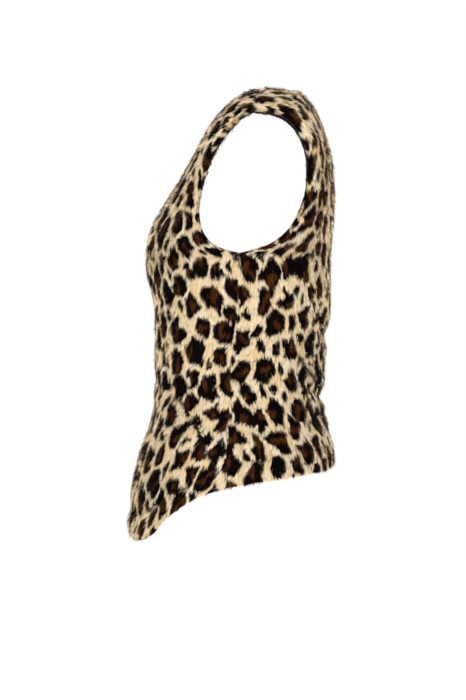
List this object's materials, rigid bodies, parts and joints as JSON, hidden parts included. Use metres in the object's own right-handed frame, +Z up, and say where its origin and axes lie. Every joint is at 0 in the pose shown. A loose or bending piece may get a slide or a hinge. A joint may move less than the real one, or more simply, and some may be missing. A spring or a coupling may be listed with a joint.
{
  "type": "faux fur vest",
  "caption": "Sleeveless faux fur vest in its worn, hollow shape: V neck edge, open armholes, nipped waist and a front hem that dips to rounded points.",
  "frame": {"origin": "midway between the shoulders, at the height where the wearer's shoulders carry the vest", "axes": "+Z up, the front faces -Y, the wearer's left is +X"},
  "size_m": [0.352, 0.2855, 0.6194],
  "materials": {
    "spotted_fur": "short soft pile, cream ground with dark brown and near-black spots",
    "facing_cloth": "matt dark woven cloth",
    "lining_cloth": "smooth dark brown lining side of the fur cloth"
  },
  "bodies": {
    "root": {"front_left": "spotted_fur", "front_right": "spotted_fur", "back": "spotted_fur", "armhole_facing_left": "facing_cloth", "armhole_facing_right": "facing_cloth"}
  },
  "joints": []
}
